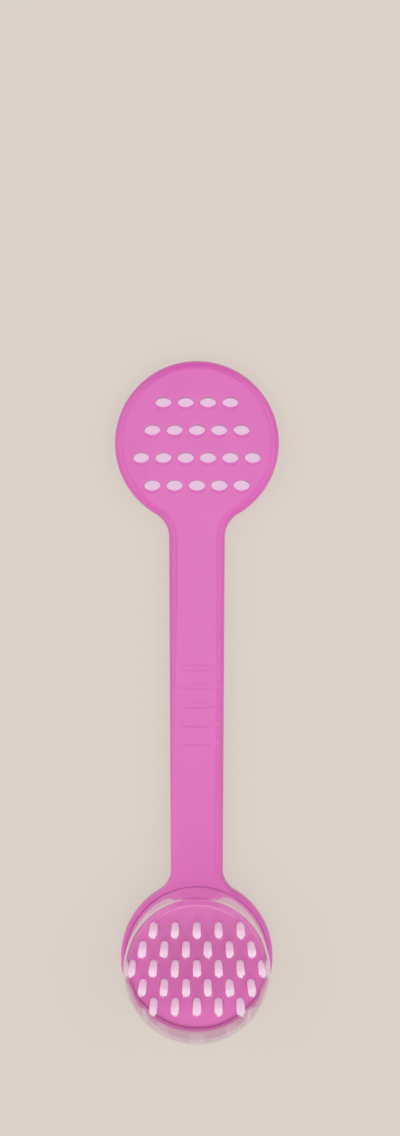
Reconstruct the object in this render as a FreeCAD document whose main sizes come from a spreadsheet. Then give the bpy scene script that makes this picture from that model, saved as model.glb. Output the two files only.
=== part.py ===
"""Double-ended tongue scraper: a slotted scraper head and a bristle head on one flat moulded handle.

Millimetres. +Z is up, away from the flat back that the tool lies on (z = 0). +Y runs along the handle
to the scraper head, +X across it. The origin is under the middle of the tool with its travel case on.
"""
import FreeCAD
import Part
import Sketcher

import math
import os

# Driving sizes: name, value in mm (or degrees), meaning.
SIZES = [
    ("head_spacing", 105.7, "between the centres of the two heads"),
    ("scraper_head_diameter", 33.8, "round scraper head"),
    ("brush_head_diameter", 31.2, "round brush head"),
    ("handle_width_scraper_end", 11.5, "handle width where the scraper neck starts"),
    ("handle_width_brush_end", 10.7, "handle width where the brush neck starts"),
    ("scraper_neck_fillet", 5.4, "outline curve between handle and scraper head"),
    ("brush_neck_fillet", 5.0, "outline curve between handle and brush head"),
    ("body_thickness", 4.0, "flat back to front face"),
    ("front_edge_round", 1.8, "rounding of the front edge of scraper head and handle"),
    ("brush_edge_round", 0.4, "rounding of the front edge of the brush head"),
    ("back_edge_round", 0.8, "rounding of the back edge"),
    ("slot_length", 3.3, "oval scraper slot along X"),
    ("slot_width", 2.2, "oval scraper slot along Y"),
    ("slot_pitch", 4.6, "between slots of one row"),
    ("slot_row_pitch", 5.7, "between slot rows"),
    ("slot_field_shift", 0.2, "slot field from the head's centre toward the handle"),
    ("ridge_ring_diameter", 3.0, "circle that each crescent ridge follows"),
    ("ridge_bead_diameter", 1.5, "bead that the ridge is a part of"),
    ("ridge_tilt", 9.5, "degrees that the bead's circle leans out of the face"),
    ("ridge_setback", 0.15, "ridge crest from the edge of its slot"),
    ("rib_pitch", 3.85, "between thumb ribs"),
    ("rib_length", 7.6, "thumb rib across the handle"),
    ("rib_width", 1.5, "thumb rib along the handle"),
    ("rib_height", 0.08, "thumb rib above the face"),
    ("rib_field_shift", 1.1, "rib field from the middle between the heads toward the brush head"),
    ("brush_face_depth", 0.8, "sunk face of the brush head below its rim"),
    ("brush_rim_width", 0.8, "rim round the sunk face"),
    ("tuft_edge_margin", 2.31, "centres of the outermost tufts from the edge of the head"),
    ("tuft_row_pitch", 3.88, "between tuft rows"),
    ("tuft_field_shift", 1.4, "tuft field from the head's centre toward the tip"),
    ("tuft_hole_depth", 2.2, "blind hole for a tuft below the sunk face"),
    ("tuft_diameter", 1.6, "tuft where it leaves its hole"),
    ("tuft_tip_diameter", 1.65, "tuft just under its trimmed end"),
    ("tuft_height", 9.2, "tuft above the sunk face"),
    ("tuft_hole_gap", 0.05, "radial gap between tuft and hole"),
    ("anchor_thickness", 0.3, "flat metal anchor"),
    ("anchor_height", 1.1, "anchor along the hole"),
    ("anchor_bite", 0.12, "anchor into the hole wall at each end"),
    ("tuft_fold", 0.35, "folded filaments under the anchor"),
    ("case_wall", 0.3, "wall of the travel case"),
    ("case_fit_gap", 0.15, "radial gap between the case's foot and the rim it stands in"),
    ("case_draft", 0.05, "narrowing of the case's wall from foot to top"),
    ("case_headroom", 3.6, "free height over the tufts inside the case"),
    ("case_corner_round", 1.5, "outer rounding of the case's top edge"),
    ("case_foot_round", 0.1, "rounding of both edges of the case's foot"),
]

SLOT_ROWS = (4, 5, 6, 5)
TUFT_ROWS = (5, 6, 7, 6, 5)
RIB_COUNT = 5


class Size:
    """A length that knows both its value now and the cell expression it comes from."""

    def __init__(self, value, text):
        self.value = float(value)
        self.text = text

    @staticmethod
    def of(other):
        """Wrap a plain number; a Size stays as it is."""
        if isinstance(other, Size):
            return other
        return Size(other, f"({other!r})")

    def __add__(self, other):
        other = Size.of(other)
        return Size(self.value + other.value, f"({self.text} + {other.text})")

    def __sub__(self, other):
        other = Size.of(other)
        return Size(self.value - other.value, f"({self.text} - {other.text})")

    def __mul__(self, other):
        other = Size.of(other)
        return Size(self.value * other.value, f"({self.text} * {other.text})")

    def __truediv__(self, other):
        other = Size.of(other)
        return Size(self.value / other.value, f"({self.text} / {other.text})")

    def __neg__(self):
        return Size(-self.value, f"(-1 * {self.text})")


doc = FreeCAD.newDocument("tongue_scraper")
sheet = doc.addObject("Spreadsheet::Sheet", "sizes")
for row, (name, value, meaning) in enumerate(SIZES, start=1):
    sheet.set(f"A{row}", meaning)
    sheet.set(f"B{row}", str(value))
    sheet.setAlias(f"B{row}", name)
doc.recompute()


def size(name):
    """The sheet's value of that name, as a Size."""
    return Size(sheet.get(name), f"sizes.{name}")


def bind(item, path, length):
    """Tie one property of a document object to its cells."""
    item.setExpression(path, length.text)


ZERO = Size(0.0, "0")
thickness = size("body_thickness")
scraper_r = size("scraper_head_diameter") / 2
brush_r = size("brush_head_diameter") / 2
sunk_r = brush_r - size("brush_rim_width")
case_r = sunk_r - size("case_fit_gap")
half_length = (scraper_r + size("head_spacing") + brush_r) / 2
scraper_y = half_length - scraper_r
brush_y = scraper_y - size("head_spacing")
tuft_field_y = brush_y - size("tuft_field_shift")
tuft_pitch = (brush_r - size("tuft_edge_margin")) * (2 / (max(TUFT_ROWS) - 1))
brush_face = thickness - size("brush_face_depth")
tuft_top = brush_face + size("tuft_height")
hole_floor = brush_face - size("tuft_hole_depth")
hole_r = size("tuft_diameter") / 2 + size("tuft_hole_gap")
anchor_floor = hole_floor + size("tuft_fold")
anchor_length = hole_r * 2 + size("anchor_bite") * 2


def origin_feature(body, role):
    """One plane or axis of the body's own origin."""
    return next(item for item in body.Origin.OriginFeatures if item.Role == role)


def new_body(label):
    """An empty body with the label that names its file."""
    body = doc.addObject("PartDesign::Body", label)
    body.Label = label
    return body


def new_sketch(body, name, plane="XY_Plane", height=None):
    """A sketch on one of the body's origin planes, moved out along that plane's normal."""
    sketch = body.newObject("Sketcher::SketchObject", name)
    sketch.AttachmentSupport = [(origin_feature(body, plane), "")]
    sketch.MapMode = "FlatFace"
    if height is not None:
        bind(sketch, "AttachmentOffset.Base.z", height)
    return sketch


def datum(sketch, kind, length, *where):
    """Add one driving dimension to a sketch and tie it to its cells."""
    index = sketch.addConstraint(Sketcher.Constraint(kind, *where, length.value))
    bind(sketch, f"Constraints[{index}]", length)


def pin(sketch, geometry, point, x, y):
    """Hold one point of a sketch at a place measured from the sketch's origin."""
    datum(sketch, "DistanceX", x, -1, 1, geometry, point)
    datum(sketch, "DistanceY", y, -1, 1, geometry, point)


def polygon(sketch, corners):
    """A closed outline of straight lines through corners that are each held in place."""
    count = len(corners)
    points = [FreeCAD.Vector(x.value, y.value, 0) for x, y in corners]
    lines = [Part.LineSegment(points[i], points[(i + 1) % count]) for i in range(count)]
    first = sketch.addGeometry(lines, False)[0]
    for i in range(count):
        following = first + (i + 1) % count
        sketch.addConstraint(Sketcher.Constraint("Coincident", first + i, 2, following, 1))
    for i, (x, y) in enumerate(corners):
        pin(sketch, first + i, 1, x, y)


def line(start, end):
    """A straight line between two places in a sketch."""
    return Part.LineSegment(FreeCAD.Vector(*start, 0), FreeCAD.Vector(*end, 0))


def join(sketch, kind, *joints):
    """Join ends of a sketch's geometry, each joint given as geometry, end, geometry, end."""
    for joint in joints:
        sketch.addConstraint(Sketcher.Constraint(kind, *joint))


def circle(sketch, x, y, r):
    """A circle held by its centre and radius."""
    centre = FreeCAD.Vector(x.value, y.value, 0)
    index = sketch.addGeometry(Part.Circle(centre, FreeCAD.Vector(0, 0, 1), r.value), False)
    pin(sketch, index, 3, x, y)
    datum(sketch, "Radius", r, index)


def oval(sketch, x, y, length, width):
    """An ellipse with its long axis along X, held by its centre and both axes."""
    centre = FreeCAD.Vector(x.value, y.value, 0)
    along = centre + FreeCAD.Vector(length.value / 2, 0, 0)
    across = centre + FreeCAD.Vector(0, width.value / 2, 0)
    index = sketch.addGeometry(Part.Ellipse(along, across, centre), False)
    sketch.exposeInternalGeometry(index)
    long_axis, short_axis = index + 1, index + 2
    pin(sketch, index, 3, x, y)
    sketch.addConstraint(Sketcher.Constraint("Horizontal", long_axis))
    datum(sketch, "Distance", length, long_axis)
    datum(sketch, "Distance", width, short_axis)


def arc(centre, r, start, end):
    """A counter-clockwise arc between two angles in degrees."""
    whole = Part.Circle(FreeCAD.Vector(*centre, 0), FreeCAD.Vector(0, 0, 1), r)
    return Part.ArcOfCircle(whole, math.radians(start), math.radians(end))


def pocket(body, sketch, name, depth=None, upward=False):
    """Cut a sketch out of the body, through all or to a depth."""
    cut = body.newObject("PartDesign::Pocket", name)
    cut.Profile = sketch
    cut.Reversed = upward
    if depth is None:
        cut.Type = "ThroughAll"
    else:
        bind(cut, "Length", depth)
    return cut


def row_of(body, features, name, axis, pitch, count):
    """Repeat features along one of the body's axes."""
    row = body.newObject("PartDesign::LinearPattern", name)
    row.Originals = features
    row.Direction = (origin_feature(body, axis), [""])
    row.Mode = "Spacing"
    bind(row, "Offset", pitch)
    row.Occurrences = count
    body.Tip = row
    return row


def neck_angle(head, neck_fillet, half_width):
    """Degrees above the X axis, seen from the head's centre, at which the neck curve leaves the head."""
    across = half_width.value + neck_fillet.value
    return math.degrees(math.acos(across / (head.value + neck_fillet.value)))


def draw_outline(sketch):
    """Two round heads joined by a slightly tapered handle, with tangent curves at both necks."""
    top_fillet = size("scraper_neck_fillet")
    low_fillet = size("brush_neck_fillet")
    top_half = size("handle_width_scraper_end") / 2
    low_half = size("handle_width_brush_end") / 2
    a = neck_angle(scraper_r, top_fillet, top_half)
    b = neck_angle(brush_r, low_fillet, low_half)
    top_y = scraper_y.value - (scraper_r.value + top_fillet.value) * math.sin(math.radians(a))
    low_y = brush_y.value + (brush_r.value + low_fillet.value) * math.sin(math.radians(b))
    top_x = top_half.value + top_fillet.value
    low_x = low_half.value + low_fillet.value
    geometry = [
        arc((0, scraper_y.value), scraper_r.value, -a, 180 + a),
        arc((-top_x, top_y), top_fillet.value, 0, a),
        line((-top_half.value, top_y), (-low_half.value, low_y)),
        arc((-low_x, low_y), low_fillet.value, -b, 0),
        arc((0, brush_y.value), brush_r.value, 180 - b, 360 + b),
        arc((low_x, low_y), low_fillet.value, 180, 180 + b),
        line((low_half.value, low_y), (top_half.value, top_y)),
        arc((top_x, top_y), top_fillet.value, 180 - a, 180),
    ]
    sketch.addGeometry(geometry, False)
    join(sketch, "Tangent", (0, 2, 1, 2), (1, 1, 2, 1), (2, 2, 3, 2), (3, 1, 4, 1))
    join(sketch, "Tangent", (4, 2, 5, 2), (5, 1, 6, 1), (6, 2, 7, 2), (7, 1, 0, 1))
    pin(sketch, 0, 3, ZERO, scraper_y)
    pin(sketch, 4, 3, ZERO, brush_y)
    datum(sketch, "Radius", scraper_r, 0)
    datum(sketch, "Radius", brush_r, 4)
    for side in (1, 7):
        datum(sketch, "Radius", top_fillet, side)
    for side in (3, 5):
        datum(sketch, "Radius", low_fillet, side)
    datum(sketch, "DistanceX", -top_half, -1, 1, 2, 1)
    datum(sketch, "DistanceX", -low_half, -1, 1, 2, 2)
    datum(sketch, "DistanceX", low_half, -1, 1, 6, 1)
    datum(sketch, "DistanceX", top_half, -1, 1, 6, 2)


def make_blank():
    """The flat moulding with its rounded edges, before slots, ribs and holes."""
    blank = new_body("blank")
    outline = new_sketch(blank, "outline")
    draw_outline(outline)
    slab = blank.newObject("PartDesign::Pad", "slab")
    slab.Profile = outline
    bind(slab, "Length", thickness)
    doc.recompute()

    front = size("front_edge_round").value
    brush = size("brush_edge_round").value
    back = size("back_edge_round").value
    neck_y = brush_y.value + brush_r.value
    edges = []
    for number, edge in enumerate(blank.Shape.Edges, start=1):
        box = edge.BoundBox
        if box.ZLength > 1e-6:
            continue
        if box.ZMax < thickness.value / 2:
            edges.append((number, back, back))
        elif box.YMin < brush_y.value:
            edges.append((number, brush, brush))
        elif box.YMax < neck_y + size("brush_neck_fillet").value:
            low_end_first = edge.valueAt(edge.FirstParameter).y < edge.valueAt(edge.LastParameter).y
            edges.append((number, brush, front) if low_end_first else (number, front, brush))
        else:
            edges.append((number, front, front))
    rounded = doc.addObject("Part::Fillet", "rounded_blank")
    rounded.Base = blank
    rounded.Edges = edges
    doc.recompute()
    return rounded


def add_slots(body):
    """Rows of oval slots through the scraper head, each with a raised crescent ridge on its handle side."""
    width = size("slot_width")
    ring_r = size("ridge_ring_diameter") / 2
    bead_r = size("ridge_bead_diameter") / 2
    lean = FreeCAD.Rotation(FreeCAD.Vector(-1, 0, 0), size("ridge_tilt").value)
    field_y = scraper_y - size("slot_field_shift")
    for index, count in enumerate(SLOT_ROWS):
        first_x = size("slot_pitch") * (-(count - 1) / 2)
        row_y = field_y + size("slot_row_pitch") * ((len(SLOT_ROWS) - 1) / 2 - index)

        ridge = body.newObject("PartDesign::AdditiveTorus", f"ridge_{index + 1}")
        ridge.AttachmentSupport = [(origin_feature(body, "XY_Plane"), "")]
        ridge.MapMode = "FlatFace"
        ridge.AttachmentOffset = FreeCAD.Placement(FreeCAD.Vector(), lean)
        bind(ridge, "AttachmentOffset.Base.x", first_x)
        bind(ridge, "AttachmentOffset.Base.y", row_y - width / 2 - size("ridge_setback") + ring_r)
        bind(ridge, "AttachmentOffset.Base.z", thickness - bead_r)
        bind(ridge, "Radius1", ring_r)
        bind(ridge, "Radius2", bead_r)
        row_of(body, [ridge], f"ridge_row_{index + 1}", "X_Axis", size("slot_pitch"), count)

        sketch = new_sketch(body, f"slot_{index + 1}")
        oval(sketch, first_x, row_y, size("slot_length"), width)
        cut = pocket(body, sketch, f"slot_cut_{index + 1}", upward=True)
        row_of(body, [cut], f"slot_row_{index + 1}", "X_Axis", size("slot_pitch"), count)


def add_ribs(body):
    """Boat-shaped thumb ribs across the handle, each a curved stave let into the face."""
    half = size("rib_length") / 2
    chord = size("rib_width") / 2
    height = size("rib_height")
    crest_r = (chord * chord / height + height) / 2
    bow_r = (half * half / height + height) / 2
    reach = half + chord
    root_z = thickness - chord
    axis_z = thickness + height - crest_r
    bow_z = thickness + height - bow_r
    middle_y = (scraper_y + brush_y) / 2 - size("rib_field_shift")
    first_y = middle_y - size("rib_pitch") * ((RIB_COUNT - 1) / 2)
    swing = math.degrees(math.asin(reach.value / bow_r.value))
    end_z = bow_z.value + bow_r.value * math.cos(math.radians(swing))
    left = (-reach.value, root_z.value)
    right = (reach.value, root_z.value)
    sketch = new_sketch(body, "rib_profile", "XZ_Plane", -first_y)
    sketch.addGeometry(
        [
            line(left, right),
            line(right, (reach.value, end_z)),
            arc((0, bow_z.value), bow_r.value, 90 - swing, 90 + swing),
            line((-reach.value, end_z), left),
        ],
        False,
    )
    join(sketch, "Coincident", (0, 2, 1, 1), (1, 2, 2, 1), (2, 2, 3, 1), (3, 2, 0, 1))
    pin(sketch, 0, 1, -reach, root_z)
    pin(sketch, 0, 2, reach, root_z)
    for end in (1, 3):
        sketch.addConstraint(Sketcher.Constraint("Vertical", end))
    pin(sketch, 2, 3, ZERO, bow_z)
    datum(sketch, "Radius", bow_r, 2)
    axis = sketch.addGeometry(line((-reach.value, axis_z.value), (reach.value, axis_z.value)), True)
    pin(sketch, axis, 1, -reach, axis_z)
    pin(sketch, axis, 2, reach, axis_z)
    # Twice the arc that stands out of the face, so that the stave's long sides stay below it.
    sweep = Size(8 * math.degrees(math.atan(height.value / chord.value)), f"(8 * atan({height.text} / {chord.text}))")
    rib = body.newObject("PartDesign::Revolution", "rib")
    rib.Profile = sketch
    rib.ReferenceAxis = (sketch, ["Axis0"])
    bind(rib, "Angle", sweep)
    rib.Midplane = True
    row_of(body, [rib], "rib_row", "Y_Axis", size("rib_pitch"), RIB_COUNT)


def tuft_places():
    """Row, place in the row and centre of every tuft, from the handle side to the tip."""
    for row, count in enumerate(TUFT_ROWS):
        y = tuft_field_y + size("tuft_row_pitch") * ((len(TUFT_ROWS) - 1) / 2 - row)
        for place in range(count):
            yield row + 1, place + 1, tuft_pitch * (place - (count - 1) / 2), y


def sink_brush_face(body):
    """Sink the brush head's face inside a narrow rim, which keeps the case's foot in place."""
    sketch = new_sketch(body, "sunk_face", height=thickness)
    circle(sketch, ZERO, brush_y, sunk_r)
    body.Tip = pocket(body, sketch, "sunk_face_cut", size("brush_face_depth"))


def add_tuft_holes(body):
    """Blind holes for the tufts, with the slits that the anchors cut down their walls."""
    for row, place, x, y in tuft_places():
        if place > 1:
            continue
        count = TUFT_ROWS[row - 1]
        sketch = new_sketch(body, f"hole_{row}", height=brush_face)
        circle(sketch, x, y, hole_r)
        hole = pocket(body, sketch, f"hole_cut_{row}", size("tuft_hole_depth"))
        row_of(body, [hole], f"hole_row_{row}", "X_Axis", tuft_pitch, count)

        slit = new_sketch(body, f"slit_{row}", height=brush_face)
        reach = anchor_length / 2
        half = size("anchor_thickness") / 2
        left = x - reach
        right = x + reach
        polygon(slit, [(left, y - half), (right, y - half), (right, y + half), (left, y + half)])
        cut = pocket(body, slit, f"slit_cut_{row}", brush_face - anchor_floor)
        row_of(body, [cut], f"slit_row_{row}", "X_Axis", tuft_pitch, count)


def make_moulded_body():
    """Handle and both heads in one moulding."""
    rounded = make_blank()
    body = new_body("moulded_body")
    body.BaseFeature = rounded
    doc.recompute()
    add_slots(body)
    add_ribs(body)
    sink_brush_face(body)
    add_tuft_holes(body)
    doc.recompute()
    return body


def make_tuft(row, place, x, y):
    """One folded tuft of filaments, slightly splayed to its rounded end, with room for its anchor."""
    body = new_body(f"tuft_{row}_{place}")
    root = size("tuft_diameter") / 2
    tip = size("tuft_tip_diameter") / 2
    profile = new_sketch(body, f"tuft_profile_{row}_{place}", "XZ_Plane")
    shoulder = tuft_top - tip
    profile.addGeometry(
        [
            line((0, hole_floor.value), (root.value, hole_floor.value)),
            line((root.value, hole_floor.value), (root.value, brush_face.value)),
            line((root.value, brush_face.value), (tip.value, shoulder.value)),
            arc((0, shoulder.value), tip.value, 0, 90),
            line((0, tuft_top.value), (0, hole_floor.value)),
        ],
        False,
    )
    join(profile, "Coincident", (0, 2, 1, 1), (1, 2, 2, 1), (2, 2, 3, 1), (3, 2, 4, 1), (4, 2, 0, 1))
    pin(profile, 0, 1, ZERO, hole_floor)
    pin(profile, 0, 2, root, hole_floor)
    pin(profile, 1, 2, root, brush_face)
    pin(profile, 2, 2, tip, shoulder)
    pin(profile, 3, 2, ZERO, tuft_top)
    datum(profile, "Radius", tip, 3)
    bundle = body.newObject("PartDesign::Revolution", f"bundle_{row}_{place}")
    bundle.Profile = profile
    bundle.ReferenceAxis = (profile, ["V_Axis"])
    bundle.Angle = 360

    half = size("anchor_thickness") / 2
    top = anchor_floor + size("anchor_height")
    window = new_sketch(body, f"anchor_window_{row}_{place}", "YZ_Plane", -root * 2)
    polygon(window, [(-half, anchor_floor), (half, anchor_floor), (half, top), (-half, top)])
    cut = pocket(body, window, f"window_cut_{row}_{place}", root * 4, upward=True)
    body.Tip = cut
    bind(body, "Placement.Base.x", x)
    bind(body, "Placement.Base.y", y)
    return body


def make_anchors():
    """The flat metal anchors, one across the foot of every tuft hole."""
    plates = []
    for row, place, x, y in tuft_places():
        plate = doc.addObject("Part::Box", f"anchor_{row}_{place}")
        bind(plate, "Length", anchor_length)
        bind(plate, "Width", size("anchor_thickness"))
        bind(plate, "Height", size("anchor_height"))
        bind(plate, "Placement.Base.x", x - anchor_length / 2)
        bind(plate, "Placement.Base.y", y - size("anchor_thickness") / 2)
        bind(plate, "Placement.Base.z", anchor_floor)
        plates.append(plate)
    group = doc.addObject("Part::Compound", "tuft_anchors")
    group.Label = "tuft_anchors"
    group.Links = plates
    return group


def round_edges(shape, corners):
    """Names of the whole circles about the Z axis that have those radii and heights."""
    names = []
    for r, z in corners:
        for number, edge in enumerate(shape.Edges, start=1):
            box = edge.BoundBox
            flat = box.ZLength < 1e-4 and abs(box.ZMax - z.value) < 1e-4
            if flat and abs(box.XLength / 2 - r.value) < 1e-4:
                names.append(f"Edge{number}")
    if len(names) != len(corners):
        raise RuntimeError("an edge of the travel case was not found")
    return names


def make_travel_case():
    """Clear cap: a thin round cup that stands in the brush head's rim, over the tufts."""
    body = new_body("travel_case")
    wall = size("case_wall")
    foot_in = case_r - wall
    top_r = case_r - size("case_draft")
    top_in = top_r - wall
    ceiling = tuft_top + size("case_headroom")
    top = ceiling + wall
    profile = new_sketch(body, "case_profile", "XZ_Plane")
    outside = [(case_r, brush_face), (top_r, top), (ZERO, top)]
    inside = [(ZERO, ceiling), (top_in, ceiling), (foot_in, brush_face)]
    polygon(profile, outside + inside)
    cup = body.newObject("PartDesign::Revolution", "cup")
    cup.Profile = profile
    cup.ReferenceAxis = (profile, ["V_Axis"])
    cup.Angle = 360
    doc.recompute()

    rounds = [
        ("top_outer_round", size("case_corner_round"), [(top_r, top)]),
        ("top_inner_round", size("case_corner_round") - wall, [(top_in, ceiling)]),
        ("foot_round", size("case_foot_round"), [(case_r, brush_face), (foot_in, brush_face)]),
    ]
    base = cup
    for name, radius, corners in rounds:
        fillet = body.newObject("PartDesign::Fillet", name)
        fillet.Base = (base, round_edges(base.Shape, corners))
        bind(fillet, "Radius", radius)
        doc.recompute()
        base = fillet
    bind(body, "Placement.Base.y", brush_y)
    return body


parts = [make_moulded_body()]
parts += [make_tuft(*place) for place in tuft_places()]
parts.append(make_anchors())
parts.append(make_travel_case())
doc.recompute()

for item in doc.Objects:
    if "Invalid" in item.State or "Error" in item.State:
        raise RuntimeError(f"{item.Label} did not build: {item.State}")

os.makedirs("parts", exist_ok=True)
for item in parts:
    if item.Shape.isNull() or not item.Shape.isValid():
        raise RuntimeError(f"{item.Label} has no valid shape")
    item.Shape.exportStep(f"parts/{item.Label}.step")
    print(item.Label, round(item.Shape.Volume, 3), len(item.Shape.Solids), len(item.Shape.Faces))
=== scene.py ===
"""Double-ended tongue scraper: bristles, finishes, floor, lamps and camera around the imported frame.

Everything is in metres, in the frame's own axes: +Y to the scraper head, +Z up from the flat back.
"""

import logging
import math
from dataclasses import dataclass
from enum import Enum
from typing import Protocol

import bpy
from bpy.types import Material, Mesh, Node, NodeSocket, NodeTree, Object
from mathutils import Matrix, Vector


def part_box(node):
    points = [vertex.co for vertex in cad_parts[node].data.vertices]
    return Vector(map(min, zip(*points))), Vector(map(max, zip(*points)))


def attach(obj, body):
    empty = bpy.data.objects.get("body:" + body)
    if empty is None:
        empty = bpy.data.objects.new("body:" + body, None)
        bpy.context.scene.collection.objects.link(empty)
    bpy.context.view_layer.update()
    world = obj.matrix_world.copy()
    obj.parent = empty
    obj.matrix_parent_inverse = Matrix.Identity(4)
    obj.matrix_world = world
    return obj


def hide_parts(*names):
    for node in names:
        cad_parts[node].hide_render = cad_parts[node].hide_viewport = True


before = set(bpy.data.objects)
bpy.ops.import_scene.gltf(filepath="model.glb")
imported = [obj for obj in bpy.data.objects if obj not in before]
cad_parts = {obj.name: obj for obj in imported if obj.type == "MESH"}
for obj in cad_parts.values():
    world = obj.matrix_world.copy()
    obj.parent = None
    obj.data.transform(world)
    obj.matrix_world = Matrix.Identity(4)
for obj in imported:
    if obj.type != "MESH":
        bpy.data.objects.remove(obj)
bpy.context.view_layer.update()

MM = 0.001
LOG = logging.getLogger("tongue_scraper")

Colour = tuple[float, float, float]


class Body(str, Enum):
    """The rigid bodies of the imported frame."""

    TOOL = "tool"
    CASE = "case"


class Slot(str, Enum):
    """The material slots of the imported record."""

    PINK_PLASTIC = "pink_plastic"
    BRISTLE_NYLON = "bristle_nylon"
    ANCHOR_METAL = "anchor_metal"
    CLEAR_PLASTIC = "clear_plastic"


class Piece(str, Enum):
    """The CAD nodes that keep their own mesh."""

    MOULDING = "moulded_body"
    ANCHORS = "tuft_anchors"
    CASE = "travel_case"


def linear(red: int, green: int, blue: int) -> Colour:
    """Turn a colour as seen on a screen into the linear colour that shaders take.

    Args:
        red: Red, 0 to 255.
        green: Green, 0 to 255.
        blue: Blue, 0 to 255.

    Returns:
        The three linear values, 0 to 1.
    """

    def channel(value: int) -> float:
        """Undo the screen's curve for one channel."""
        share = value / 255
        return share / 12.92 if share <= 0.04045 else ((share + 0.055) / 1.055) ** 2.4

    return channel(red), channel(green), channel(blue)


def rgba(colour: Colour) -> tuple[float, float, float, float]:
    """Add full opacity to a colour."""
    return (*colour, 1.0)


def scraper_centre() -> Vector:
    """Find the scraper head, which is as wide as the moulding and ends it toward +Y.

    Returns:
        The head's centre, in the plane of the flat back.
    """
    low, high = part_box(Piece.MOULDING.value)
    radius = (high.x - low.x) / 2
    return Vector((0.0, high.y - radius, 0.0))


class Graph:
    """A thin helper that adds nodes to a tree and joins them."""

    def __init__(self, tree: NodeTree) -> None:
        """Hold the tree that nodes go into."""
        self.tree = tree

    def add(self, kind: str, **settings: object) -> Node:
        """Add one node.

        Args:
            kind: The node's type name.
            settings: Properties of the node to set.

        Returns:
            The new node.
        """
        node = self.tree.nodes.new(kind)
        for name, value in settings.items():
            setattr(node, name, value)
        return node

    def feed(self, target: NodeSocket, source: object) -> None:
        """Join an output to an input, or set the input to a plain value.

        Args:
            target: The input socket.
            source: An output socket, or the value itself.
        """
        if isinstance(source, NodeSocket):
            self.tree.links.new(source, target)
        else:
            target.default_value = source

    def math(self, operation: str, *values: object) -> NodeSocket:
        """Work out one value from others.

        Args:
            operation: The Math node's operation.
            values: Sockets or numbers, in the node's order.

        Returns:
            The result's socket.
        """
        node = self.add("ShaderNodeMath", operation=operation)
        for socket, value in zip(node.inputs, values):
            self.feed(socket, value)
        return node.outputs[0]

    def vector(self, operation: str, *values: object) -> NodeSocket:
        """Work out one vector from others.

        Args:
            operation: The Vector Math node's operation.
            values: Sockets or vectors, in the node's order.

        Returns:
            The result's socket.
        """
        node = self.add("ShaderNodeVectorMath", operation=operation)
        for socket, value in zip(node.inputs, values):
            self.feed(socket, value)
        return node.outputs[0]

    def scaled(self, vector: NodeSocket, factor: object) -> NodeSocket:
        """Make a vector longer or shorter.

        Args:
            vector: The vector's socket.
            factor: A socket or number to multiply its length by.

        Returns:
            The result's socket.
        """
        node = self.add("ShaderNodeVectorMath", operation="SCALE")
        self.feed(node.inputs[0], vector)
        self.feed(node.inputs["Scale"], factor)
        return node.outputs[0]

    def triple(self, x: object, y: object, z: object) -> NodeSocket:
        """Make a vector of three values.

        Args:
            x: A socket or number.
            y: A socket or number.
            z: A socket or number.

        Returns:
            The vector's socket.
        """
        node = self.add("ShaderNodeCombineXYZ")
        for socket, value in zip(node.inputs, (x, y, z)):
            self.feed(socket, value)
        return node.outputs[0]

    def span(
        self, value: NodeSocket, low: float, high: float, start: float = 0.0, end: float = 1.0
    ) -> NodeSocket:
        """Map a value that runs from start to end to one that runs from low to high, and no further.

        Args:
            value: The value's socket.
            low: Result at the start.
            high: Result at the end.
            start: Value at the start.
            end: Value at the end.

        Returns:
            The result's socket.
        """
        node = self.add("ShaderNodeMapRange", clamp=True)
        self.feed(node.inputs["Value"], value)
        self.feed(node.inputs["From Min"], start)
        self.feed(node.inputs["From Max"], end)
        self.feed(node.inputs["To Min"], low)
        self.feed(node.inputs["To Max"], high)
        return node.outputs["Result"]

    def blend(self, share: NodeSocket, first: Colour, second: Colour) -> NodeSocket:
        """Mix two colours by a share that changes over the surface.

        Args:
            share: The second colour's share.
            first: Colour at share 0.
            second: Colour at share 1.

        Returns:
            The mixed colour's socket.
        """
        mix = self.add("ShaderNodeMix", data_type="RGBA")
        self.feed(mix.inputs["Factor"], share)
        colour_inputs = [socket for socket in mix.inputs if socket.type == "RGBA"]
        for socket, colour in zip(colour_inputs, (first, second)):
            self.feed(socket, rgba(colour))
        return next(socket for socket in mix.outputs if socket.type == "RGBA")

    def switch(self, share: NodeSocket, first: NodeSocket, second: NodeSocket) -> NodeSocket:
        """Mix two shaders.

        Args:
            share: The second shader's share.
            first: Shader at share 0.
            second: Shader at share 1.

        Returns:
            The mixed shader's socket.
        """
        mix = self.add("ShaderNodeMixShader")
        for socket, source in zip(mix.inputs, (share, first, second)):
            self.feed(socket, source)
        return mix.outputs["Shader"]


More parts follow.
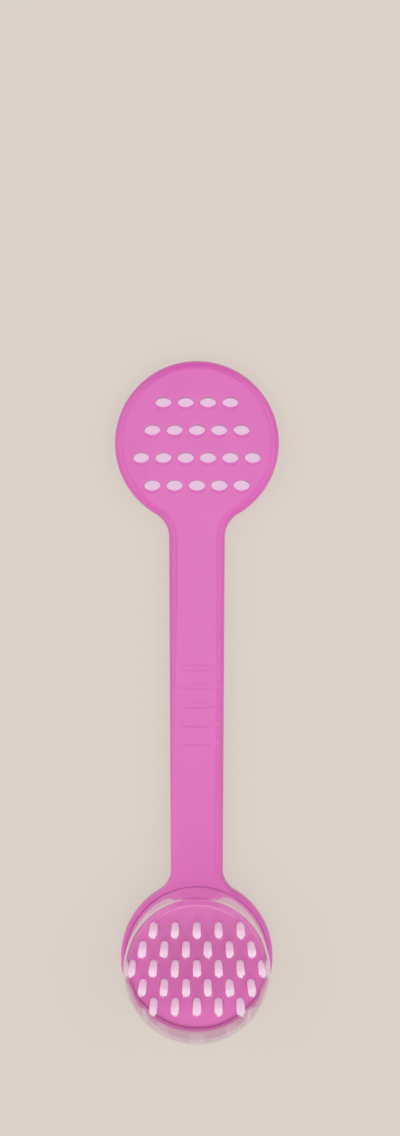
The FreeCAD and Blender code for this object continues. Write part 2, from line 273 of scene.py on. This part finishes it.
class SurfaceGrain:
    """Shader node group shared by the moulded finishes: fine skin grain and slow cloudy flow."""

    NAME = "surface_grain"
    GRAIN_DETAIL = 3.0
    FLOW_DETAIL = 2.0
    FLOW_DISTORTION = 0.6

    @classmethod
    def tree(cls) -> NodeTree:
        """Build the group once.

        Returns:
            The group's node tree, with inputs Grain Scale and Flow Scale and outputs Grain and Flow.
        """
        known = bpy.data.node_groups.get(cls.NAME)
        if known is not None:
            return known
        tree = bpy.data.node_groups.new(cls.NAME, "ShaderNodeTree")
        for label in ("Grain Scale", "Flow Scale"):
            tree.interface.new_socket(label, in_out="INPUT", socket_type="NodeSocketFloat")
        for label in ("Grain", "Flow"):
            tree.interface.new_socket(label, in_out="OUTPUT", socket_type="NodeSocketFloat")
        graph = Graph(tree)
        start = graph.add("NodeGroupInput")
        end = graph.add("NodeGroupOutput")
        place = graph.add("ShaderNodeTexCoord").outputs["Object"]
        grain = graph.add("ShaderNodeTexNoise")
        graph.feed(grain.inputs["Vector"], place)
        graph.feed(grain.inputs["Scale"], start.outputs["Grain Scale"])
        graph.feed(grain.inputs["Detail"], cls.GRAIN_DETAIL)
        flow = graph.add("ShaderNodeTexNoise")
        graph.feed(flow.inputs["Vector"], place)
        graph.feed(flow.inputs["Scale"], start.outputs["Flow Scale"])
        graph.feed(flow.inputs["Detail"], cls.FLOW_DETAIL)
        graph.feed(flow.inputs["Distortion"], cls.FLOW_DISTORTION)
        graph.feed(end.inputs["Grain"], grain.outputs["Fac"])
        graph.feed(end.inputs["Flow"], flow.outputs["Fac"])
        return tree

    @classmethod
    def place(cls, graph: Graph, grain_scale: float, flow_scale: float) -> Node:
        """Put the group into a material.

        Args:
            graph: The material's graph.
            grain_scale: Fine grain, in waves per metre.
            flow_scale: Slow flow, in waves per metre.

        Returns:
            The group node.
        """
        node = graph.add("ShaderNodeGroup", node_tree=cls.tree())
        graph.feed(node.inputs["Grain Scale"], grain_scale)
        graph.feed(node.inputs["Flow Scale"], flow_scale)
        return node


class Finish(Protocol):
    """Anything that can build a material."""

    def material(self) -> Material:
        """Build the finish."""


def new_material(name: str) -> tuple[Material, Graph, Node, Node]:
    """Start a material with an empty tree.

    Args:
        name: The finish's name.

    Returns:
        The material, its graph, its Principled shader and its output node.
    """
    material = bpy.data.materials.new(name)
    material.use_nodes = True
    material.node_tree.nodes.clear()
    graph = Graph(material.node_tree)
    shader = graph.add("ShaderNodeBsdfPrincipled")
    output = graph.add("ShaderNodeOutputMaterial")
    graph.feed(output.inputs["Surface"], shader.outputs["BSDF"])
    return material, graph, shader, output


@dataclass(frozen=True)
class PinkPlastic:
    """Translucent pink moulding with a satin skin and faint flow clouds."""

    body: Colour = linear(214, 102, 181)
    cloud: Colour = linear(206, 94, 173)
    gloss_low: float = 0.24
    gloss_high: float = 0.28
    grain_scale: float = 2600.0
    flow_scale: float = 60.0
    grain_depth: float = 0.02 * MM
    grain_strength: float = 0.12
    index: float = 1.49
    glow: float = 0.6
    glow_tint: Colour = (1.0, 0.45, 0.8)
    glow_reach: float = 2.5 * MM

    def material(self) -> Material:
        """Build the finish.

        Returns:
            The material.
        """
        material, graph, shader, _ = new_material("pink_moulded_plastic")
        skin = SurfaceGrain.place(graph, self.grain_scale, self.flow_scale)
        grain, flow = skin.outputs["Grain"], skin.outputs["Flow"]
        graph.feed(shader.inputs["Base Color"], graph.blend(flow, self.body, self.cloud))
        graph.feed(shader.inputs["Roughness"], graph.span(grain, self.gloss_low, self.gloss_high))
        graph.feed(shader.inputs["IOR"], self.index)
        graph.feed(shader.inputs["Subsurface Weight"], self.glow)
        graph.feed(shader.inputs["Subsurface Radius"], self.glow_tint)
        graph.feed(shader.inputs["Subsurface Scale"], self.glow_reach)
        skin_bump = graph.add("ShaderNodeBump")
        graph.feed(skin_bump.inputs["Height"], grain)
        graph.feed(skin_bump.inputs["Distance"], self.grain_depth)
        graph.feed(skin_bump.inputs["Strength"], self.grain_strength)
        graph.feed(shader.inputs["Normal"], skin_bump.outputs["Normal"])
        return material


@dataclass(frozen=True)
class BristleNylon:
    """White nylon filament, a little duller in clouds, with a painted glow: a pale pink emission stands
    in for the light that the filaments would carry along their length.
    """

    clear: Colour = linear(252, 246, 250)
    dull: Colour = linear(246, 232, 240)
    gloss_low: float = 0.32
    gloss_high: float = 0.5
    grain_scale: float = 1500.0
    flow_scale: float = 400.0
    index: float = 1.53
    scatter: float = 1.0
    scatter_tint: Colour = (1.0, 0.9, 1.0)
    scatter_reach: float = 4.0 * MM
    # Painted glow: colour and strength of the emission that brightens the filaments.
    painted_light: Colour = linear(255, 212, 244)
    painted_glow_share: float = 0.165

    def material(self) -> Material:
        """Build the finish.

        Returns:
            The material.
        """
        material, graph, shader, _ = new_material("white_bristle_nylon")
        skin = SurfaceGrain.place(graph, self.grain_scale, self.flow_scale)
        grain, flow = skin.outputs["Grain"], skin.outputs["Flow"]
        graph.feed(shader.inputs["Base Color"], graph.blend(flow, self.clear, self.dull))
        graph.feed(shader.inputs["Roughness"], graph.span(grain, self.gloss_low, self.gloss_high))
        graph.feed(shader.inputs["IOR"], self.index)
        graph.feed(shader.inputs["Subsurface Weight"], self.scatter)
        graph.feed(shader.inputs["Subsurface Radius"], self.scatter_tint)
        graph.feed(shader.inputs["Subsurface Scale"], self.scatter_reach)
        # Painted light: a faint pale pink emission brightens the filaments in place of the light that
        # nylon passes along and between its filaments.
        graph.feed(shader.inputs["Emission Color"], rgba(self.painted_light))
        graph.feed(shader.inputs["Emission Strength"], self.painted_glow_share)
        return material


@dataclass(frozen=True)
class AnchorBrass:
    """Drawn brass strip of the tuft anchors."""

    bright: Colour = linear(226, 194, 122)
    dull: Colour = linear(196, 160, 96)
    gloss_low: float = 0.25
    gloss_high: float = 0.45
    grain_scale: float = 4000.0
    flow_scale: float = 900.0

    def material(self) -> Material:
        """Build the finish.

        Returns:
            The material.
        """
        material, graph, shader, _ = new_material("anchor_brass")
        skin = SurfaceGrain.place(graph, self.grain_scale, self.flow_scale)
        grain, flow = skin.outputs["Grain"], skin.outputs["Flow"]
        graph.feed(shader.inputs["Base Color"], graph.blend(flow, self.bright, self.dull))
        graph.feed(shader.inputs["Roughness"], graph.span(grain, self.gloss_low, self.gloss_high))
        graph.feed(shader.inputs["Metallic"], 1.0)
        return material


@dataclass(frozen=True)
class ClearPlastic:
    """Clear moulded plastic, faintly hazy, that lets lamps through to what it covers.

    A ray that has bounced more often than most_bounces goes straight on.
    """

    tint: Colour = linear(245, 242, 243)
    gloss_low: float = 0.03
    gloss_high: float = 0.10
    grain_scale: float = 900.0
    flow_scale: float = 90.0
    index: float = 1.38
    most_bounces: float = 3.5

    def material(self) -> Material:
        """Build the finish.

        Returns:
            The material.
        """
        material, graph, shader, output = new_material("clear_case_plastic")
        flow = SurfaceGrain.place(graph, self.grain_scale, self.flow_scale).outputs["Flow"]
        graph.feed(shader.inputs["Base Color"], rgba(self.tint))
        graph.feed(shader.inputs["Roughness"], graph.span(flow, self.gloss_low, self.gloss_high))
        graph.feed(shader.inputs["IOR"], self.index)
        graph.feed(shader.inputs["Transmission Weight"], 1.0)
        through = graph.add("ShaderNodeBsdfTransparent")
        graph.feed(through.inputs["Color"], rgba(self.tint))
        path = graph.add("ShaderNodeLightPath")
        trapped = graph.math("GREATER_THAN", path.outputs["Ray Depth"], self.most_bounces)
        passed = graph.math("MAXIMUM", path.outputs["Is Shadow Ray"], trapped)
        surface = graph.switch(passed, shader.outputs["BSDF"], through.outputs["BSDF"])
        graph.feed(output.inputs["Surface"], surface)
        return material


@dataclass(frozen=True)
class PaleFloor:
    """Plain pale surface under the tool, partly self-lit so that it stays pale and still holds a shadow.

    Under the slotted head a pale pink light is painted into its self-lit colour, in place of the light
    that would come through the translucent moulding.
    """

    colour: Colour = linear(217, 208, 199)
    roughness: float = 0.9
    mirror_level: float = 0.1
    self_lit: float = 0.75
    # Painted pink light under the slotted head, and the distances over which it fades out.
    painted_light: Colour = linear(252, 217, 247)
    painted_light_edge: tuple[float, float] = (14.0 * MM, 15.5 * MM)

    def material(self) -> Material:
        """Build the finish.

        Returns:
            The material.
        """
        material, graph, shader, output = new_material("pale_floor")
        graph.feed(shader.inputs["Base Color"], rgba(self.colour))
        graph.feed(shader.inputs["Roughness"], self.roughness)
        graph.feed(shader.inputs["Specular IOR Level"], self.mirror_level)
        outside = self.outside(graph)
        light = graph.add("ShaderNodeEmission")
        # Painted light: under the head the self-lit colour turns pale pink, a painted pool of light from
        # the moulding.
        graph.feed(light.inputs["Color"], graph.blend(outside, self.painted_light, self.colour))
        path = graph.add("ShaderNodeLightPath")
        # Under the head the self-lit share reaches every ray, so the painted pink light also lights the
        # slot walls.
        seen = graph.math("SUBTRACT", 1.0, outside)
        for ray in ("Is Camera Ray", "Is Glossy Ray", "Is Transmission Ray"):
            seen = graph.math("MAXIMUM", seen, path.outputs[ray])
        share = graph.math("MULTIPLY", seen, self.self_lit)
        surface = graph.switch(share, shader.outputs["BSDF"], light.outputs["Emission"])
        graph.feed(output.inputs["Surface"], surface)
        return material

    def outside(self, graph: Graph) -> NodeSocket:
        """Tell the floor outside the slotted head from the floor under it, where the pink light is
        painted.

        Args:
            graph: The material's graph.

        Returns:
            A value of 0 under the head and 1 outside it.
        """
        away = graph.add("ShaderNodeVectorMath", operation="DISTANCE")
        graph.feed(away.inputs[0], graph.add("ShaderNodeTexCoord").outputs["Object"])
        graph.feed(away.inputs[1], scraper_centre())
        return graph.span(away.outputs["Value"], 0.0, 1.0, *self.painted_light_edge)


def link(piece: Object) -> Object:
    """Put an object into the scene."""
    bpy.context.scene.collection.objects.link(piece)
    return piece


@dataclass
class CadPart:
    """A sub-assembly that keeps its CAD mesh and only gets a finish."""

    piece: Piece
    body: Body
    slot: Slot
    finish: Finish

    def build(self) -> None:
        """Dress the CAD node."""
        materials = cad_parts[self.piece.value].data.materials
        materials.clear()
        materials.append(self.finish.material())
        LOG.info("%s on %s dressed as %s", self.piece.value, self.body.value, self.slot.value)


@dataclass
class MouldedBody(CadPart):
    """Handle, scraper head and brush head in one pink moulding."""

    piece: Piece = Piece.MOULDING
    body: Body = Body.TOOL
    slot: Slot = Slot.PINK_PLASTIC
    finish: Finish = PinkPlastic()


class BristleTree:
    """Geometry Nodes tree that grows a bundle of filaments from every point of a mesh."""

    NAME = "bristle_tufts"
    INPUTS = {
        "Filaments": "NodeSocketInt",
        "Sides": "NodeSocketInt",
        "Rings": "NodeSocketInt",
        "Bundle Radius": "NodeSocketFloat",
        "Filament Radius": "NodeSocketFloat",
        "Tip Share": "NodeSocketFloat",
        "Length": "NodeSocketFloat",
        "Splay": "NodeSocketFloat",
        "Wander": "NodeSocketFloat",
        "Trim Drop": "NodeSocketFloat",
        "Length Jitter": "NodeSocketFloat",
        "Wave": "NodeSocketFloat",
        "Wave Scale": "NodeSocketFloat",
        "Seed": "NodeSocketInt",
        "Finish": "NodeSocketMaterial",
    }
    GOLDEN_TURN = math.pi * (3 - math.sqrt(5))
    HALF_STEP = 0.5
    UP = (0.0, 0.0, 1.0)
    SIDEWAYS = (1.0, 1.0, 0.0)
    NOISE_MIDDLE = (0.5, 0.5, 0.5)

    def __init__(self) -> None:
        """Start the tree with its named inputs."""
        self.tree = bpy.data.node_groups.new(self.NAME, "GeometryNodeTree")
        interface = self.tree.interface
        interface.new_socket("Geometry", in_out="INPUT", socket_type="NodeSocketGeometry")
        for label, kind in self.INPUTS.items():
            interface.new_socket(label, in_out="INPUT", socket_type=kind)
        interface.new_socket("Geometry", in_out="OUTPUT", socket_type="NodeSocketGeometry")
        self.graph = Graph(self.tree)
        self.given = self.graph.add("NodeGroupInput").outputs

    def build(self) -> NodeTree:
        """Join the steps from points to dressed filaments.

        Returns:
            The finished tree.
        """
        graph, given = self.graph, self.given
        points, tuft, number = self.copies()
        share = graph.math("DIVIDE", graph.math("ADD", number, self.HALF_STEP), given["Filaments"])
        radial = self.radial(share, number, tuft)
        spread = graph.add("GeometryNodeSetPosition")
        graph.feed(spread.inputs["Geometry"], points)
        graph.feed(spread.inputs["Offset"], graph.scaled(radial, given["Bundle Radius"]))
        grown = graph.add("GeometryNodeInstanceOnPoints")
        graph.feed(grown.inputs["Points"], spread.outputs["Geometry"])
        graph.feed(grown.inputs["Instance"], self.filament())
        graph.feed(grown.inputs["Rotation"], self.facing(radial))
        graph.feed(grown.inputs["Scale"], self.stretch(share))
        solid = graph.add("GeometryNodeRealizeInstances")
        graph.feed(solid.inputs["Geometry"], grown.outputs["Instances"])
        bent = graph.add("GeometryNodeSetPosition")
        graph.feed(bent.inputs["Geometry"], solid.outputs["Geometry"])
        graph.feed(bent.inputs["Offset"], self.bend())
        smooth = graph.add("GeometryNodeSetShadeSmooth")
        graph.feed(smooth.inputs["Geometry"], bent.outputs["Geometry"])
        finish = graph.add("GeometryNodeSetMaterial")
        graph.feed(finish.inputs["Geometry"], smooth.outputs["Geometry"])
        graph.feed(finish.inputs["Material"], given["Finish"])
        end = graph.add("NodeGroupOutput")
        graph.feed(end.inputs["Geometry"], finish.outputs["Geometry"])
        return self.tree

    def copies(self) -> tuple[NodeSocket, NodeSocket, NodeSocket]:
        """Copy every tuft's point once for each filament.

        Returns:
            The points, the number of each point's tuft, and its own number in the tuft.
        """
        graph = self.graph
        keep = graph.add("GeometryNodeCaptureAttribute", domain="POINT")
        keep.capture_items.new("INT", "Tuft")
        graph.feed(keep.inputs["Geometry"], self.given["Geometry"])
        graph.feed(keep.inputs["Tuft"], graph.add("GeometryNodeInputIndex").outputs[0])
        copies = graph.add("GeometryNodeDuplicateElements", domain="POINT")
        graph.feed(copies.inputs["Geometry"], keep.outputs["Geometry"])
        graph.feed(copies.inputs["Amount"], self.given["Filaments"])
        return copies.outputs["Geometry"], keep.outputs["Tuft"], copies.outputs["Duplicate Index"]

    def radial(self, share: NodeSocket, number: NodeSocket, tuft: NodeSocket) -> NodeSocket:
        """Spread the filaments evenly over a disc of radius 1, turned differently in each tuft.

        Args:
            share: The filament's number as a share of all.
            number: The filament's number.
            tuft: The tuft's number.

        Returns:
            The filament's place on the disc.
        """
        graph = self.graph
        turn = graph.math("ADD", graph.math("MULTIPLY", number, self.GOLDEN_TURN), tuft)
        around = graph.triple(graph.math("COSINE", turn), graph.math("SINE", turn), 0.0)
        return graph.scaled(around, graph.math("SQRT", share))

    def facing(self, radial: NodeSocket) -> NodeSocket:
        """Lean each filament outward, and a little at random.

        Args:
            radial: The filament's place on the disc.

        Returns:
            The filament's rotation.
        """
        graph, given = self.graph, self.given
        stray = graph.add("FunctionNodeRandomValue", data_type="FLOAT_VECTOR")
        for socket, corner in zip(stray.inputs, ((-1.0, -1.0, 0.0), (1.0, 1.0, 0.0))):
            graph.feed(socket, corner)
        graph.feed(stray.inputs["Seed"], given["Seed"])
        outward = graph.scaled(radial, given["Splay"])
        wander = graph.scaled(stray.outputs[0], given["Wander"])
        lean = graph.vector("ADD", outward, wander)
        facing = graph.add("FunctionNodeAlignRotationToVector", axis="Z")
        graph.feed(facing.inputs["Vector"], graph.vector("ADD", lean, self.UP))
        return facing.outputs["Rotation"]

    def stretch(self, share: NodeSocket) -> NodeSocket:
        """Trim the filaments: a domed end, with each filament a little short at random.

        Args:
            share: The filament's number as a share of all, which grows from the middle outward.

        Returns:
            The filament's scale.
        """
        graph, given = self.graph, self.given
        short = graph.add("FunctionNodeRandomValue", data_type="FLOAT")
        # The node lists the span of its vectors first and that of its numbers after it.
        graph.feed(short.inputs[2], -1.0)
        graph.feed(short.inputs[3], 0.0)
        graph.feed(short.inputs["Seed"], graph.math("ADD", given["Seed"], 1.0))
        dome = graph.math("SUBTRACT", 1.0, graph.math("MULTIPLY", share, given["Trim Drop"]))
        uneven = graph.math("MULTIPLY", short.outputs[1], given["Length Jitter"])
        return graph.triple(1.0, 1.0, graph.math("ADD", dome, uneven))

    def filament(self) -> NodeSocket:
        """Make one straight filament that tapers to its tip.

        Returns:
            The filament's mesh.
        """
        graph, given = self.graph, self.given
        cone = graph.add("GeometryNodeMeshCone", fill_type="NGON")
        graph.feed(cone.inputs["Vertices"], given["Sides"])
        graph.feed(cone.inputs["Side Segments"], given["Rings"])
        tip = graph.math("MULTIPLY", given["Filament Radius"], given["Tip Share"])
        graph.feed(cone.inputs["Radius Top"], tip)
        graph.feed(cone.inputs["Radius Bottom"], given["Filament Radius"])
        graph.feed(cone.inputs["Depth"], given["Length"])
        return cone.outputs["Mesh"]

    def bend(self) -> NodeSocket:
        """Bend the filaments in slow waves that grow with height.

        Returns:
            The sideways offset.
        """
        graph, given = self.graph, self.given
        spot = graph.add("GeometryNodeInputPosition").outputs[0]
        waves = graph.add("ShaderNodeTexNoise")
        graph.feed(waves.inputs["Vector"], spot)
        graph.feed(waves.inputs["Scale"], given["Wave Scale"])
        parts = graph.add("ShaderNodeSeparateXYZ")
        graph.feed(parts.inputs[0], spot)
        rise = graph.math("DIVIDE", parts.outputs["Z"], given["Length"])
        centred = graph.vector("SUBTRACT", waves.outputs["Color"], self.NOISE_MIDDLE)
        sideways = graph.vector("MULTIPLY", centred, self.SIDEWAYS)
        return graph.scaled(sideways, graph.math("MULTIPLY", rise, given["Wave"]))


@dataclass
class BristleField:
    """Every tuft of the brush head as a bundle of separate nylon filaments."""

    name: str = "bristles"
    prefix: str = "tuft_"
    filaments: int = 60
    filament_diameter: float = 0.19 * MM
    tip_share: float = 0.55
    splay: float = 0.006
    wander: float = 0.008
    trim_drop: float = 0.03
    length_jitter: float = 0.13
    wave: float = 0.10 * MM
    wave_scale: float = 420.0
    sides: int = 6
    rings: int = 4
    seed: int = 7
    finish: BristleNylon = BristleNylon()

    def tufts(self) -> list[str]:
        """Names of the tuft nodes, in order."""
        names = sorted(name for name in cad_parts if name.startswith(self.prefix))
        return [name for name in names if name != Piece.ANCHORS.value]

    def roots(self) -> Mesh:
        """One vertex at the foot of every tuft.

        Returns:
            The mesh of loose vertices.
        """
        points = []
        for name in self.tufts():
            low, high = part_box(name)
            points.append(((low.x + high.x) / 2, (low.y + high.y) / 2, low.z))
        mesh = bpy.data.meshes.new("tuft_roots")
        mesh.from_pydata(points, [], [])
        return mesh

    def values(self, material: Material) -> dict[str, object]:
        """Value of every input of the tree.

        Args:
            material: The filaments' finish.

        Returns:
            The values by label.
        """
        low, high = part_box(self.tufts()[0])
        radius = self.filament_diameter / 2
        return {
            "Filaments": self.filaments,
            "Sides": self.sides,
            "Rings": self.rings,
            "Bundle Radius": (high.x - low.x) / 2 - radius,
            "Filament Radius": radius,
            "Tip Share": self.tip_share,
            "Length": high.z - low.z,
            "Splay": self.splay,
            "Wander": self.wander,
            "Trim Drop": self.trim_drop,
            "Length Jitter": self.length_jitter,
            "Wave": self.wave,
            "Wave Scale": self.wave_scale,
            "Seed": self.seed,
            "Finish": material,
        }

    def grow(self) -> Mesh:
        """Run the tree on the tufts' roots.

        Returns:
            The plain mesh of all filaments.
        """
        tree = BristleTree().build()
        grower = link(bpy.data.objects.new("bristle_grower", self.roots()))
        modifier = grower.modifiers.new(self.name, "NODES")
        modifier.node_group = tree
        values = self.values(self.finish.material())
        for item in tree.interface.items_tree:
            if item.in_out == "INPUT" and item.name in values:
                modifier[item.identifier] = values[item.name]
        depsgraph = bpy.context.evaluated_depsgraph_get()
        mesh = bpy.data.meshes.new_from_object(grower.evaluated_get(depsgraph))
        mesh.name = self.name
        bpy.data.objects.remove(grower)
        return mesh

    def build(self) -> None:
        """Grow the bristles and let them stand for the tuft nodes."""
        mesh = self.grow()
        piece = link(bpy.data.objects.new(self.name, mesh))
        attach(piece, Body.TOOL.value)
        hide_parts(*self.tufts())
        LOG.info("%s: %d tufts, %d faces", piece.name, len(self.tufts()), len(mesh.polygons))


@dataclass
class TuftAnchors(CadPart):
    """Metal anchors at the foot of the tuft holes."""

    piece: Piece = Piece.ANCHORS
    body: Body = Body.TOOL
    slot: Slot = Slot.ANCHOR_METAL
    finish: Finish = AnchorBrass()


@dataclass
class TravelCase(CadPart):
    """Clear push-on case over the brush head."""

    piece: Piece = Piece.CASE
    body: Body = Body.CASE
    slot: Slot = Slot.CLEAR_PLASTIC
    finish: Finish = ClearPlastic()


@dataclass(frozen=True)
class Lamp:
    """One soft area lamp aimed at a point; mirrored says whether shiny and clear things show it."""

    name: str
    place: tuple[float, float, float]
    width: float
    height: float
    power: float
    mirrored: bool = True
    aim: tuple[float, float, float] = (0.0, 0.0, 0.0)

    def build(self) -> None:
        """Hang the lamp."""
        light = bpy.data.lights.new(self.name, "AREA")
        light.shape = "RECTANGLE"
        light.size = self.width
        light.size_y = self.height
        light.energy = self.power
        lamp = link(bpy.data.objects.new(self.name, light))
        lamp.visible_glossy = self.mirrored
        lamp.visible_transmission = self.mirrored
        lamp.location = self.place
        toward = Vector(self.aim) - Vector(self.place)
        lamp.rotation_euler = toward.to_track_quat("-Z", "Y").to_euler()


@dataclass
class Studio:
    """Pale floor, soft lamps and the camera over the tool.

    The picture's size, its scale at the tool's front face and the scraper head's place in it, counted
    from the upper left corner, fix the camera.
    """

    image_width: int = 400
    image_height: int = 1136
    pixel: float = 0.205 * MM
    scraper_pixel: tuple[float, float] = (196.9, 442.4)
    front_face: float = 4.0 * MM
    camera_height: float = 333.0 * MM
    nearest_seen: float = 10.0 * MM
    sensor: float = 36.0
    floor_half: float = 20.0
    floor_gap: float = 0.05 * MM
    sky: Colour = (0.98, 0.98, 1.0)
    sky_strength: float = 0.58
    backdrop_strength: float = 0.89
    gap_strength: float = 0.06
    gap_edge: tuple[float, float] = (0.86, 0.96)
    zenith_guard: float = 0.0001
    floor_finish: PaleFloor = PaleFloor()
    lamps: tuple[Lamp, ...] = (
        Lamp("left_softbox", place=(-0.5, 0.1, 0.4), width=1.0, height=0.5, power=1.7),
        Lamp("right_softbox", place=(0.5, 0.1, 0.4), width=1.0, height=0.5, power=1.7),
        Lamp("top_softbox", place=(0.0, 0.02, 0.8), width=0.3, height=0.42, power=0.8),
        Lamp("foot_softbox", place=(0.0, -0.6, 0.5), width=0.6, height=0.4, power=1.3),
        Lamp("head_softbox", place=(0.0, 0.6, 0.5), width=0.6, height=0.4, power=0.4, mirrored=False),
    )

    def floor(self) -> None:
        """Lay the floor."""
        half = self.floor_half
        corners = [(-half, -half), (half, -half), (half, half), (-half, half)]
        mesh = bpy.data.meshes.new("floor")
        mesh.from_pydata([(x, y, -self.floor_gap) for x, y in corners], [], [(0, 1, 2, 3)])
        mesh.materials.append(self.floor_finish.material())
        piece = link(bpy.data.objects.new("floor", mesh))

    def world(self) -> None:
        """Light everything softly from all round; the camera itself sees the floor's colour there."""
        world = bpy.data.worlds.new("soft_room")
        world.use_nodes = True
        world.node_tree.nodes.clear()
        graph = Graph(world.node_tree)
        room = graph.add("ShaderNodeBackground")
        graph.feed(room.inputs["Color"], rgba(self.sky))
        graph.feed(room.inputs["Strength"], self.room_strength(graph))
        backdrop = graph.add("ShaderNodeBackground")
        graph.feed(backdrop.inputs["Color"], rgba(self.floor_finish.colour))
        graph.feed(backdrop.inputs["Strength"], self.backdrop_strength)
        seen = graph.add("ShaderNodeLightPath").outputs["Is Camera Ray"]
        surface = graph.switch(seen, room.outputs["Background"], backdrop.outputs["Background"])
        graph.feed(graph.add("ShaderNodeOutputWorld").inputs["Surface"], surface)
        bpy.context.scene.world = world

    def room_strength(self, graph: Graph) -> NodeSocket:
        """Let the room's light fall off to a dark gap past the scraper head.

        Args:
            graph: The world's graph.

        Returns:
            The strength in each direction.
        """
        parts = graph.add("ShaderNodeSeparateXYZ")
        graph.feed(parts.inputs[0], graph.add("ShaderNodeTexCoord").outputs["Generated"])
        across = graph.math("MULTIPLY", parts.outputs["X"], parts.outputs["X"])
        along = graph.math("MULTIPLY", parts.outputs["Y"], parts.outputs["Y"])
        level = graph.math("ADD", graph.math("ADD", across, along), self.zenith_guard)
        toward_head = graph.math("DIVIDE", parts.outputs["Y"], graph.math("SQRT", level))
        return graph.span(toward_head, self.sky_strength, self.gap_strength, *self.gap_edge)

    def camera(self) -> None:
        """Hang the camera straight over the front face."""
        across = (self.scraper_pixel[0] - self.image_width / 2) * self.pixel
        along = (self.image_height / 2 - self.scraper_pixel[1]) * self.pixel
        data = bpy.data.cameras.new("camera")
        data.sensor_fit = "AUTO"
        data.sensor_width = self.sensor
        data.lens = self.sensor * self.camera_height / (self.image_height * self.pixel)
        data.clip_start = self.nearest_seen
        camera = link(bpy.data.objects.new("camera", data))
        camera.location = (-across, scraper_centre().y - along, self.front_face + self.camera_height)
        bpy.context.scene.camera = camera

    def build(self) -> None:
        """Set up floor, room light, lamps and camera."""
        self.floor()
        self.world()
        for lamp in self.lamps:
            lamp.build()
        self.camera()
        bpy.context.scene.view_settings.view_transform = "Standard"
        LOG.info("studio ready with %d lamps", len(self.lamps))


def main() -> None:
    """Build every sub-assembly in order."""
    logging.basicConfig(level=logging.INFO, format="%(name)s: %(message)s")
    MouldedBody().build()
    BristleField().build()
    TuftAnchors().build()
    TravelCase().build()
    Studio().build()


if __name__ == "__main__":
    main()
